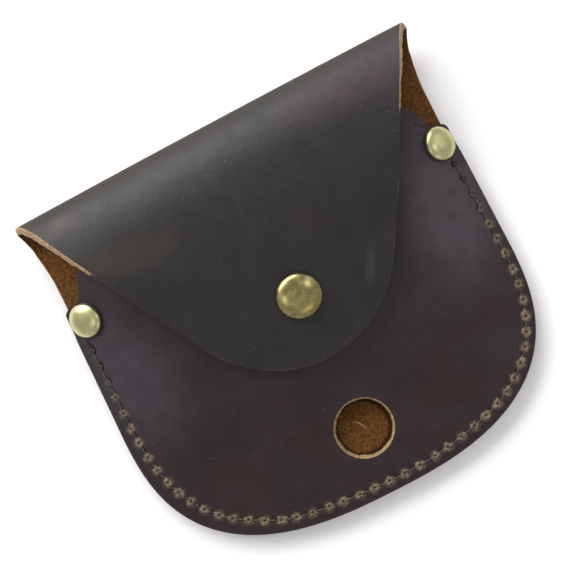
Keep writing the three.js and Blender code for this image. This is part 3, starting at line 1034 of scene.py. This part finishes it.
def out_of_fold(place):
    """Out from the flap's edge: the left end was cut at a longer slope than the right one."""
    slope = 1.0 if place.x < 0 else 0.6
    outward = Vector((math.copysign(math.cos(EDGE_ANGLE), place.x), -math.sin(EDGE_ANGLE), 0))
    return outward * slope


def sewn_dent(place):
    return seam_dent(place.x, place.y, BACK_PIT_DEPTH) + rivet_dent(place.x, place.y)


def snap_dent(place):
    away = math.hypot(place.x - SNAP_X, place.y - SNAP_Y)
    on_flap = place.z > BETWEEN_BACK_AND_FLAP
    return SNAP_DENT_DEPTH * math.exp(-((away / SNAP_DENT_RADIUS) ** 4)) * on_flap


lean_cut(back, back_grain, back_measures, out_of_fold, 2.5)
press(back, sewn_grain, sewn_dent)
press(back, back_grain - sewn_grain, snap_dent)
round_corners(back)

# %% [markdown]
# ## The grain side
# The hide was dyed through and waxed, then handled for years. Its colour drifts from purple-brown
# to a greyer brown in patches as wide as a thumb, wax has gone dull here and there, and faint scuffs
# run across it. A few noises of different sizes make the drift, and a fine relief of cells makes
# the pores. The front and the flap come from different parts of the hide, so the flap is greyer.
# Each has soft marks of its own too, and a list of them goes with each call. On the flap they are
# paler patches of the hide; on the front two broad ones are painted sheen on its sloping sides,
# and a paler band runs across its middle.


# %% Grain finish
def grain_finish(name, deep, light, warm, uneven_size, uneven_roughness, marks_and_sheen, gloss, tint):
    """Dyed and waxed leather, with all that has happened to it, and some painted light and shade."""
    finish = Finish(name)
    edge, seam, along = finish.own("edge"), finish.own("seam"), finish.own("along")
    prick, ridge = finish.own("prick"), finish.own("ridge")
    y = finish.node("ShaderNodeSeparateXYZ", {}, {"Vector": finish.place}, "Y")

    # The drift of the dye, from broad to fine. The broadest also grows lighter towards the fold
    # and darker towards the bottom, which is painted light and shade.
    dye_drift_and_light = finish.fade(finish.clouds(34) + y * 0.006, 0.20, 0.58)
    patches = finish.clouds(7, detail=4, roughness=0.6)
    blotches = finish.clouds(3, detail=3, roughness=0.6)
    speckle = finish.clouds(0.8, detail=3, roughness=0.6)
    stretched = finish.stretched((1, 1.6, 1), (0, 0, 0.6))
    reddish = finish.fade(finish.clouds(19, detail=3, vector=stretched) - y * 0.002, 0.45, 0.75)

    # Scuffs and specks of dust.
    swirled = finish.stretched((0.35, 1.3, 0.5), (0, 0, 0.4))
    streaks = finish.clouds(1, detail=3, vector=swirled, distortion=0.6)
    scuffs = finish.fade(streaks, 0.66, 0.78) * finish.fade(finish.clouds(11), 0.52, 0.66)
    specks = finish.fade(0 - finish.cells(5.5), -0.05, -0.02)

    # The margin outside the seam, painted darker as shade where it slopes away from the light, the
    # groove of the thread and the fraying at its holes.
    shaded_margin = finish.fade(0 - seam, 0.3, 1.6)
    thread_line = 1 - finish.fade(abs(seam), 0.25, 0.9)
    sewn = finish.fade(along, 14, 40) * finish.fade(0 - along, 14 - RIM_LENGTH, 40 - RIM_LENGTH)
    pricked = prick + 2.4 * finish.clouds(0.9, detail=4, roughness=0.75)
    frayed = (1 - finish.fade(pricked, 1.7, 3.2)) * sewn

    # A brown strip along the top of the fold, partly wear and partly painted light, the frayed border,
    # and the slits, painted nearly black as shade.
    fold_top_wear_and_light = 1 - finish.fade(ridge + 2.6 * finish.clouds(4, detail=4, roughness=0.7), 1.2, 4.4)
    tufted = finish.fade(finish.clouds(0.7, detail=3, roughness=0.7), 0.54, 0.68)
    border = (1 - finish.fade(edge, 0.1, 0.55)) * finish.fade(finish.clouds(9), 0.4, 0.6)
    slit_shade = 1 - finish.fade(finish.own("slit"), 0.15, 0.5)

    layers = [
        # how much of it there is at each place, colour
        (reddish * 0.8, warm),
        (finish.fade(patches, 0.35, 0.8) * 0.25, (0.026, 0.021, 0.023)),
        (finish.fade(blotches, 0.5, 0.75) * 0.2, (0.004, 0.004, 0.004)),
        (finish.fade(speckle, 0.45, 0.8) * 0.14, (0.045, 0.038, 0.034)),
        (scuffs * 0.28, (0.09, 0.075, 0.065)),
        (specks * 0.5, (0.13, 0.11, 0.09)),
        (shaded_margin * 0.75, (0.0095, 0.0035, 0.0045)),
        (thread_line * 0.4, (0.006, 0.004, 0.003)),
        (frayed * 0.75, (0.10, 0.077, 0.045)),
        (fold_top_wear_and_light * 0.75, (0.028, 0.016, 0.008)),
        (tufted * border * 0.8, (0.16, 0.12, 0.085)),
        (slit_shade * 0.9, (0.002, 0.001, 0.001)),
    ]
    uneven = finish.clouds(uneven_size, detail=4, roughness=uneven_roughness)
    # Each piece's soft marks; on the front two of them are painted sheen.
    for *where, strength, mark_and_sheen_colour in marks_and_sheen:
        layers.append((finish.mark(*where) * uneven * strength, mark_and_sheen_colour))
    colour = finish.layered(finish.blend(dye_drift_and_light, deep, light), layers)

    wrinkles = finish.cells(1.9, "SMOOTH_F1", vector=finish.stretched((1, 1.4, 1), (0, 0, 0.3)))
    height = finish.cells(0.75) * 0.5 + speckle * 0.6 + wrinkles * 0.25
    relief = finish.relief(height, 0.045, strength=0.7)
    relief = finish.relief(patches + 0.5 * blotches, 0.25, strength=0.6, under=relief)
    roughness = 0.38 + 0.14 * patches + 0.12 * blotches + 0.08 * speckle
    roughness = roughness + 0.15 * frayed + 0.25 * fold_top_wear_and_light
    return finish.surface(colour, roughness, Normal=relief, Specular_IOR_Level=gloss, Specular_Tint=tint)


# %% Front grain
front_grain_finish = grain_finish(
    "front_grain",
    deep=(0.0070, 0.0032, 0.0036),
    light=(0.014, 0.0105, 0.0135),
    warm=(0.0125, 0.0042, 0.0036),
    uneven_size=5,
    uneven_roughness=0.6,
    marks_and_sheen=[
        # x, y, length, width, turn in degrees, strength, colour
        # the first two are painted sheen on the right and left slopes, the third a paler band across the
        # middle
        (47, 5, 34, 60, -8, 2.1, (0.041, 0.037, 0.044)),
        (-48, 0, 30, 56, 8, 1.4, (0.029, 0.028, 0.035)),
        (6, -13, 110, 24, 0, 0.9, (0.026, 0.021, 0.025)),
    ],
    gloss=0.38,
    tint=(1.0, 0.90, 0.92, 1),
)

# %% Flap grain
flap_grain_finish = grain_finish(
    "flap_grain",
    deep=(0.0045, 0.0045, 0.004),
    light=(0.0080, 0.0078, 0.0078),
    warm=(0.011, 0.0075, 0.0065),
    uneven_size=3.5,
    uneven_roughness=0.65,
    marks_and_sheen=[
        # x, y, length, width, turn in degrees, strength, colour
        (-36, 29, 46, 13, -4, 0.9, (0.034, 0.024, 0.015)),
        (38, 43.5, 62, 18, 3, 1.2, (0.035, 0.022, 0.026)),
        (21, -1, 15, 4, 62, 0.5, (0.060, 0.060, 0.056)),
        (-47, 45, 9, 6, 0, 0.8, (0.060, 0.042, 0.024)),
    ],
    gloss=0.42,
    tint=(1.0, 0.98, 0.97, 1),
)

# %% [markdown]
# ## The flesh side and the cut edge
# The inner side of a hide is a felt of loose brown fibres, and the light catches their tufts. Deep
# in the fold and just under the rim of the thumb hole it is painted darker, as painted shade, and
# one long fibre lies loose in the hole. The cut edge shows the middle of the hide. Where it was only
# cut, at the fold and round the hole, it is as pale as straw; round the sewn rim it was stained and
# rubbed until it went dark.

# %% Flesh finish
HAIR_CENTRE, HAIR_RADIUS, HAIR_WIDTH = (-3.19, -40.47), 4.5, 0.34
HAIR_SEEN = (0.3, -38.3, 5.4, 3.4, -58.6)  # the mark within which the fibre's circle shows
flesh = Finish("flesh")
tufts = flesh.clouds(0.7, detail=4, roughness=0.75)
hairs = flesh.clouds(0.25, detail=3, roughness=0.7)
hollows = flesh.fade(flesh.clouds(1.1, detail=4, roughness=0.75), 0.49, 0.62)
# Painted shade deep in the fold.
shade_in_fold = 1 - flesh.fade(flesh.own("ridge"), 2, 17)
# Painted shade just under the rim of the thumb hole, with a ragged edge.
jagged = flesh.own("thumb") + 2.4 * (flesh.clouds(0.6, detail=3, roughness=0.7) - 0.5)
shade_under_hole_rim = flesh.fade(jagged, 6.7, 7.1) * (1 - flesh.fade(flesh.own("thumb"), 9, 10))
loose_hair = flesh.arc(*HAIR_CENTRE, HAIR_RADIUS, HAIR_WIDTH) * flesh.mark(*HAIR_SEEN)
flesh_layers = [
    (flesh.fade(hairs, 0.55, 0.8) * 0.6, (0.26, 0.145, 0.065)),
    (hollows * 0.7, (0.035, 0.012, 0.003)),
    (shade_in_fold * 0.5, (0.035, 0.013, 0.004)),
    (shade_under_hole_rim * 0.85, (0.022, 0.008, 0.002)),
    (loose_hair * 0.65, (0.46, 0.29, 0.19)),
]
felt = flesh.blend(flesh.fade(tufts, 0.3, 0.7), (0.060, 0.023, 0.005), (0.145, 0.064, 0.018))
flesh_relief = flesh.relief(tufts + 0.6 * hairs, 0.3, strength=0.8)
flesh_finish = flesh.surface(
    flesh.layered(felt, flesh_layers), 0.95, Normal=flesh_relief, Specular_IOR_Level=0.1
)

# %% Cut finish
cut = Finish("cut_edge")
layers = cut.clouds(0.6, detail=4, roughness=0.7)
straw = cut.blend(cut.fade(layers, 0.33, 0.66), (0.15, 0.088, 0.038), (0.38, 0.27, 0.14))
stained = cut.blend(cut.fade(layers, 0.35, 0.7), (0.013, 0.006, 0.004), (0.038, 0.018, 0.011))
bare = cut.fade(cut.own("pale") + 0.5 * layers, 0.45, 0.9)
pale_fray = cut.fade(cut.clouds(0.9, detail=3, roughness=0.7), 0.58, 0.7) * cut.own("lean")
cut_colour = cut.blend(greater(bare, pale_fray * 0.7), stained, straw)
cut_finish = cut.surface(cut_colour, 0.8, Normal=cut.relief(layers, 0.15, strength=0.7))

# %% The two sheets
for name, sheet, grain_side, node in (
    ("front_leather", front, front_grain_finish, "front_panel"),
    ("back_and_flap_leather", back, flap_grain_finish, "back_and_flap"),
):
    finished_piece(name, sheet, [grain_side, flesh_finish, cut_finish], [node])

# %% [markdown]
# ## Awl holes and stitches
# Each hole was opened with an awl from the front, which tore up a little ring of pale fibres. The
# thread is a two-ply linen cord, waxed and almost as dark as the leather. A torn ring is a profile
# spun round and then ruffled by noise. A stitch is a grid rolled into a tube, with two lobes that
# turn as they go, and it dives into a hole at each end.


# %% Places along the seam
def seam_seat(run, height):
    """A place on the seam whose X runs along it and whose Z is square to the leather."""
    point = seam_at(run)
    normal = front_normal(point.x, point.y)
    ahead = (seam_at(run + 1) - seam_at(run - 1)).to_3d()
    along = (ahead - normal * ahead.dot(normal)).normalized()
    turn = turned_to(along, normal.cross(along), normal)
    return Matrix.Translation(on_front(point.x, point.y, height)) @ turn


def spun(shape, profile, steps):
    """Spins a profile of (radius, height) round Z, adds it to a shape and returns its vertices."""
    before = set(shape.verts)
    ends = [shape.verts.new((radius, 0, height)) for radius, height in profile]
    edges = [shape.edges.new(pair) for pair in zip(ends, ends[1:])]
    full_circle(shape, ends + edges, steps)
    made = [vert for vert in shape.verts if vert not in before]
    bmesh.ops.remove_doubles(shape, verts=made, dist=0.0005)
    made = [vert for vert in shape.verts if vert not in before]
    faces = {face for vert in made for face in vert.link_faces}
    bmesh.ops.recalc_face_normals(shape, faces=list(faces))
    return made


print(f"first hole {seam_seat(hole_runs[0], 0).translation.z:.1f} mm up")

# %% Torn rings
torn = Finish("torn_leather")
torn_fibres = torn.clouds(0.5, detail=4, roughness=0.7)
torn_share = torn.fade(torn_fibres * 1.1 + torn.own("lobe") * 0.25, 0.36, 0.88)
# Painted shade in the middle of each awl hole.
hole_shade = (1 - torn.fade(torn.own("out"), 0.05, 0.22)) * 0.6
torn_layers = [(hole_shade, (0.020, 0.014, 0.010)), (1 - torn.own("fresh"), (0.030, 0.024, 0.022))]
torn_fringe = torn.blend(torn_share, (0.032, 0.023, 0.015), (0.19, 0.150, 0.090))
torn_colour = torn.layered(torn_fringe, torn_layers)
torn_finish = torn.surface(torn_colour, 0.9, Normal=torn.relief(torn_fibres, 0.25, strength=0.9))

RING_PROFILE = [
    # radius, height
    (1.35, -0.2), (1.1, -0.04), (0.85, 0.04), (0.6, 0.05),
    (0.38, 0.01), (0.2, -0.12), (0.12, -0.4), (0.06, -0.9),
]
RING_STEPS, RING_LENGTH, RING_WIDTH = 24, 1.14, 0.98

torn_rings = bmesh.new()
ring_measures = measured(torn_rings, (), ("out", "lobe", "fresh"))
for k, run in enumerate(hole_runs):
    made = spun(torn_rings, RING_PROFILE, RING_STEPS)
    from_end = min(run, RIM_LENGTH - run)
    fresh = smoothstep(from_end, 8, 38) * chance.uniform(0.7, 1.0)
    size = between(0.6, 1.0, smoothstep(from_end, 8, 30)) * chance.uniform(0.88, 1.14)
    lobes, turned = chance.choice((2, 3, 3, 4)), chance.uniform(0, math.tau)
    for vert in made:
        x, y, _ = vert.co
        out = math.hypot(x, y)
        shift = smoothstep(out, 0.12, 0.5)
        rough = noise.noise(Vector((x * 1.25, y * 1.25, k * 3.3)))
        fine = noise.noise(Vector((x * 3.1, y * 3.1, k * 5.7)))
        raised = 0.55 + 0.2 * math.cos(lobes * math.atan2(y, x) + turned) + 1.1 * rough + 0.4 * fine
        raised = share_of(raised)
        stretch = size * (1 + (0.15 * raised - 0.1 + 0.35 * rough) * shift)
        vert.co.x *= stretch * RING_LENGTH
        vert.co.y *= stretch * RING_WIDTH
        vert.co.z += shift * (1 - smoothstep(out, 0.9, 1.25)) * (0.26 * raised + 0.12 * fine - 0.06)
        lobe = raised * shift * (1 - smoothstep(out, 1.0, 1.25))
        measure(vert, ring_measures, out=out, lobe=lobe, fresh=fresh)
    bmesh.ops.transform(torn_rings, matrix=seam_seat(run, LEATHER / 2), verts=made)
finished_piece("awl_holes", torn_rings, [torn_finish])

# %% Stitches
thread = Finish("waxed_thread")
ply = thread.fade(thread.clouds(0.5), 0.35, 0.7)
thread_colour = thread.blend(ply, (0.020, 0.012, 0.009), (0.085, 0.053, 0.045))
thread_finish = thread.surface(thread_colour, 0.55, Normal=thread.relief(thread.clouds(0.15), 0.05))
THREAD_RADIUS, THREAD_DEPTH, PLY_TURN = 0.26, 0.2, 1.7
DIVE_DEPTH, DIVE_LENGTH = 0.8, 0.5
SECTIONS, SIDES = 16, 8


def roll_stitch(shape, start, end, side):
    """A stitch between two runs, on the front (side 1) or on the back (side -1)."""
    made = bmesh.ops.create_grid(shape, x_segments=SECTIONS, y_segments=SIDES, size=1)["verts"]
    face_height = LEATHER / 2 if side > 0 else -SEWN_LAYER - LEATHER / 2
    seats = []
    for i in range(SECTIONS + 1):
        run = between(start, end, i / SECTIONS)
        near = min(run - start, end - run)
        dive = THREAD_DEPTH + DIVE_DEPTH * math.exp(-((near / DIVE_LENGTH) ** 2))
        seats.append(seam_seat(run, face_height - side * dive))
    for vert in made:
        i = round((vert.co.x + 1) / 2 * SECTIONS)
        turn = (vert.co.y + 1) * math.pi
        twist = between(start, end, i / SECTIONS) / PLY_TURN * math.pi
        radius = THREAD_RADIUS * (1 + 0.16 * math.cos(2 * (turn - twist)))
        vert.co = seats[i] @ Vector((0, radius * math.cos(turn), radius * math.sin(turn)))
    bmesh.ops.remove_doubles(shape, verts=made, dist=0.001)


stitches = bmesh.new()
for start, end in zip(hole_runs, hole_runs[1:]):
    roll_stitch(stitches, start, end, 1)
    roll_stitch(stitches, start, end, -1)
bmesh.ops.recalc_face_normals(stitches, faces=stitches.faces[:])
finished_piece("stitches", stitches, [thread_finish])

# %% [markdown]
# ## Brass
# Two double-capped rivets take the strain at the mouth, and a snap closes the flap. Their caps are
# thin brass pressed over a former: a flat-topped dome with a tight shoulder and a lip turned in
# underneath. A profile spun round makes such a cap. The rivets were rubbed bright; the snap's brass
# has an olive tarnish, with a painted brown reflection low on its rim and two painted highlights
# on its dome.


# %% Caps
def seat(x, y, height):
    """A place on the front whose Z is square to the leather."""
    normal = front_normal(x, y)
    across = Vector((0, 1, 0)).cross(normal).normalized()
    return Matrix.Translation(on_front(x, y, height)) @ turned_to(across, normal.cross(across), normal)


def cap_profile(radius, lip, rise, flatness, hollow):
    """From the top's middle, over the shoulder and the lip, to under the cap."""
    points = []
    for degrees in range(0, 91, 5):
        out = math.sin(math.radians(degrees))
        points.append((radius * out, lip + rise * (1 - out**flatness) ** (1 / 2.1)))
    points += [(radius, lip * 0.55), (radius - 0.12, lip * 0.18), (radius - 0.4, 0.0)]
    points += [(radius - 1.0, 0.05), (hollow, 0.15)]
    return points


ROUND_STEPS = 72


def add_round(shape, profile, matrix):
    bmesh.ops.transform(shape, matrix=matrix, verts=spun(shape, profile, ROUND_STEPS))


print(f"a cap's profile has {len(cap_profile(1, 0, 1, 2, 0))} points, spun in {ROUND_STEPS} steps")

# %% Brass finishes
bright = Finish("rubbed_brass")
bright_tone = bright.clouds(2.6, detail=3)
bright_colour = bright.blend(bright.fade(bright_tone, 0.3, 0.7), (0.48, 0.46, 0.21), (0.57, 0.55, 0.31))
rub_lines = bright.clouds(1, vector=bright.stretched((0.5, 9, 3), (0, 0, 0.7)))
bright_finish = bright.surface(
    bright_colour,
    0.24 + 0.12 * bright_tone + 0.06 * rub_lines,
    Metallic=1.0,
    Normal=bright.relief(rub_lines, 0.01, strength=0.3),
)
antique = Finish("tarnished_brass")
tarnish = antique.clouds(1.6, detail=4, roughness=0.6)
# A painted brown reflection low on the snap's rim.
painted_brown_reflection = antique.mark(SNAP_X + 1.7, SNAP_Y - 5.6, 10, 6) * antique.fade(tarnish, 0.25, 0.6)
# Two painted highlights on the snap's dome.
painted_glint_right = antique.mark(SNAP_X + 3.4, SNAP_Y + 1.0, 4.2, 2.6, 60)
painted_glint_left = antique.mark(SNAP_X - 4.1, SNAP_Y, 3.6, 2.2, 80)
painted_glints = greater(painted_glint_right, painted_glint_left) * (0.4 + 0.5 * tarnish)
olive = antique.blend(antique.fade(tarnish, 0.3, 0.72), (0.225, 0.195, 0.075), (0.375, 0.335, 0.145))
antique_finish = antique.surface(
    antique.layered(olive, [(painted_brown_reflection * 0.7, (0.28, 0.185, 0.07)), (painted_glints, (0.56, 0.50, 0.27))]),
    0.22 + 0.18 * tarnish,
    Metallic=1.0,
    Normal=antique.relief(tarnish, 0.02, strength=0.35),
)

# %% Rivets
FRONT_CAP_SEAT, BACK_CAP_SEAT, RIVET_POST_RADIUS = 0.52, 0.50, 1.5
INSIDE_CAP = 0.15  # how far the post reaches into each cap
front_cap = cap_profile(4.75, 0.5, 1.95, 2.5, RIVET_POST_RADIUS)
back_cap = cap_profile(4.2, 0.45, 1.35, 2.5, RIVET_POST_RADIUS)
post_top = FRONT_CAP_SEAT + INSIDE_CAP
post_foot = -SEWN_LAYER - BACK_CAP_SEAT - INSIDE_CAP
post = [(RIVET_POST_RADIUS, post_top), (RIVET_POST_RADIUS, post_foot)]
for name, x in (("rivet_left", -RIVET_X), ("rivet_right", RIVET_X)):
    rivet = bmesh.new()
    flip = Matrix.Rotation(math.pi, 4, "X")
    add_round(rivet, front_cap, seat(x, RIVET_Y, FRONT_CAP_SEAT))
    add_round(rivet, back_cap, seat(x, RIVET_Y, -SEWN_LAYER - BACK_CAP_SEAT) @ flip)
    add_round(rivet, post, seat(x, RIVET_Y, 0))
    finished_piece(name + "_caps", rivet, [bright_finish], [name])

# %% Snap
CAP_GAP = 0.05  # between the cap and the leather that it was pressed into
SNAP_CAP_SEAT = LAYER + SNAP_STAND_OFF + LEATHER / 2 - SNAP_DENT_DEPTH + CAP_GAP
snap = bmesh.new()
add_round(snap, cap_profile(6.2, 0.6, 2.3, 2.3, 1.9), seat(SNAP_X, SNAP_Y, SNAP_CAP_SEAT))
finished_piece("snap_cap_domed", snap, [antique_finish], ["snap_cap"])
for name in ("snap_post", "snap_socket", "snap_stud"):
    for place in bpy.data.objects[name].material_slots:
        place.material = antique_finish

# %% [markdown]
# ## Finishing
# The model's box is written beside that of the dressed pouch, so that the two can be compared.

# %% Sizes
size = {"cad": cad_box, "visual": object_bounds()}
print(size)
